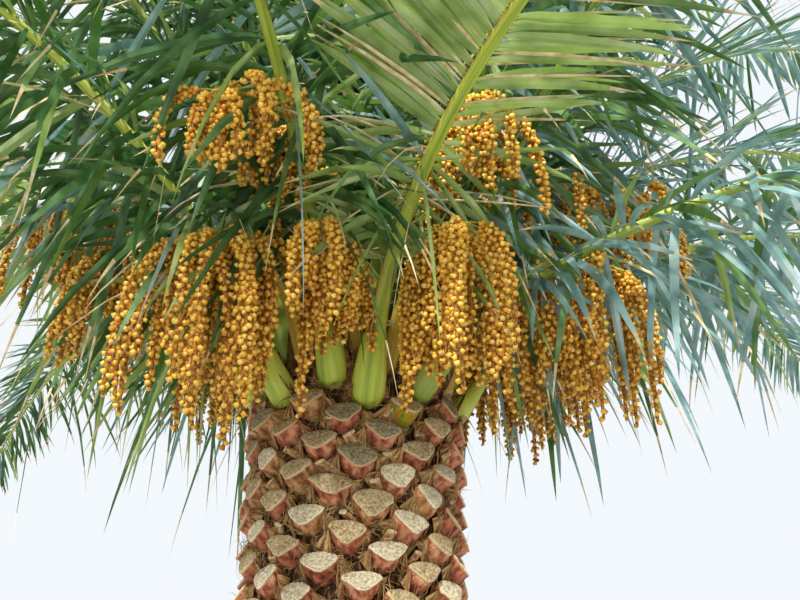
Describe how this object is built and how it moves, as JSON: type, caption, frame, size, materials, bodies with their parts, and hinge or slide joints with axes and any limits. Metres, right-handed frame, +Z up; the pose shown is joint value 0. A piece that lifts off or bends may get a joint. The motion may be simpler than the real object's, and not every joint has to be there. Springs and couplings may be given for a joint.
{
  "type": "canary island date palm",
  "caption": "Whole rooted palm with a stout trunk armoured in sawn leaf bases, a dense crown of arching feather fronds and hanging bunches of orange dates.",
  "frame": {"origin": "centre of the trunk's flat cut at ground level", "axes": "+Z up along the trunk; the front, where one low frond arches out over the viewer, faces -Y; +X is to that viewer's right"},
  "size_m": [7.4578, 7.4573, 5.8183],
  "materials": {
    "bark": "rough fibrous leaf bases with pale sawn faces",
    "fronds": "leathery green leaflets on yellow-green ribs",
    "dates": "satin orange fruit on orange strands"
  },
  "bodies": {
    "root": {"frond_01": "fronds", "frond_02": "fronds", "frond_03": "fronds", "frond_04": "fronds", "frond_05": "fronds", "frond_06": "fronds", "frond_07": "fronds", "frond_08": "fronds", "frond_09": "fronds", "frond_10": "fronds", "frond_11": "fronds", "frond_12": "fronds", "frond_13": "fronds", "frond_14": "fronds", "frond_15": "fronds", "frond_16": "fronds", "frond_17": "fronds", "frond_18": "fronds", "frond_19": "fronds", "frond_20": "fronds", "frond_21": "fronds", "frond_22": "fronds", "frond_23": "fronds", "frond_24": "fronds", "frond_25": "fronds", "frond_26": "fronds", "frond_27": "fronds", "frond_28": "fronds", "frond_29": "fronds", "frond_30": "fronds", "frond_31": "fronds", "frond_32": "fronds", "frond_33": "fronds", "frond_34": "fronds", "frond_35": "fronds", "frond_36": "fronds", "frond_37": "fronds", "frond_38": "fronds", "frond_39": "fronds", "frond_40": "fronds", "frond_41": "fronds", "frond_42": "fronds", "frond_43": "fronds", "fruit_bunch_01": "dates", "fruit_bunch_02": "dates", "fruit_bunch_03": "dates", "fruit_bunch_04": "dates", "fruit_bunch_05": "dates", "fruit_bunch_06": "dates", "fruit_bunch_07": "dates", "fruit_bunch_08": "dates", "fruit_bunch_09": "dates", "fruit_bunch_10": "dates", "fruit_bunch_11": "dates", "fruit_bunch_12": "dates", "fruit_bunch_13": "dates", "fruit_bunch_14": "dates", "fruit_bunch_15": "dates", "heart_fronds": "fronds", "trunk": "bark"}
  },
  "joints": []
}
